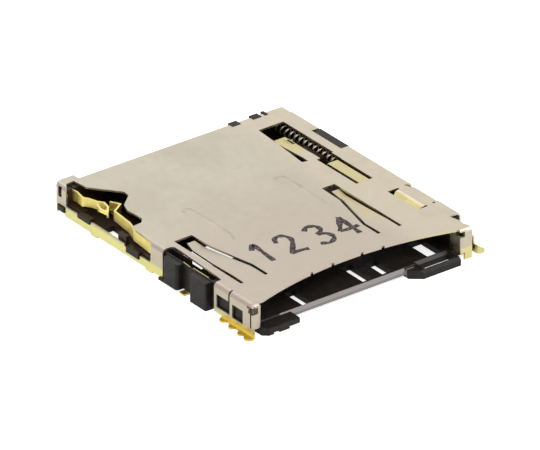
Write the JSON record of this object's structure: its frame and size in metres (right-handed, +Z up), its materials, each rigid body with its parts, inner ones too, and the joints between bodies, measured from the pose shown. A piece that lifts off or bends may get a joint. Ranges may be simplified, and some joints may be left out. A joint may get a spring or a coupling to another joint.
{
  "type": "sd card socket",
  "caption": "Push-push memory card socket with a folded metal cover, black moulded base, gold contacts, switch leaves and a sprung ejector.",
  "frame": {"origin": "on the circuit board, under the middle of the outline of the cover with its tabs, feet and tails", "axes": "+Z up from the board, +Y into the socket from the card mouth, +X to the right seen from the mouth"},
  "size_m": [0.0298, 0.0338, 0.0034],
  "materials": {
    "cover_metal": "satin stamped sheet, warm pale nickel",
    "black_plastic": "fine moulded black",
    "gold_contact": "thin gold plating",
    "gold_leaf": "thin gold plating",
    "slider_plastic": "fine moulded dark",
    "spring_steel": "bright drawn wire"
  },
  "bodies": {
    "base": {"shell": "cover_metal", "housing": "black_plastic", "contact_1": "gold_contact", "contact_2": "gold_contact", "contact_3": "gold_contact", "contact_4": "gold_contact", "contact_5": "gold_contact", "contact_6": "gold_contact", "contact_7": "gold_contact", "contact_8": "gold_contact", "contact_9": "gold_contact", "detect_leaf": "gold_leaf", "protect_leaf": "gold_leaf", "switch_common": "gold_leaf", "eject_spring": "spring_steel"},
    "slider": {"eject_slider": "slider_plastic", "card_lock": "spring_steel"},
    "pin": {"cam_pin": "spring_steel"}
  },
  "joints": [
    {"name": "eject_slide", "type": "slide", "parent": "base", "child": "slider", "axis": [0, 1, 0], "range_m": [0, 0.005], "stiffness_N_per_m": 150, "springref_m": -0.004, "deforming": ["eject_spring"]},
    {"name": "pin_swing", "type": "hinge", "parent": "base", "child": "pin", "pos_m": [0.01245, -0.0082, 0.00285], "axis": [0, 0, 1], "range_deg": [0, 4.1]}
  ]
}
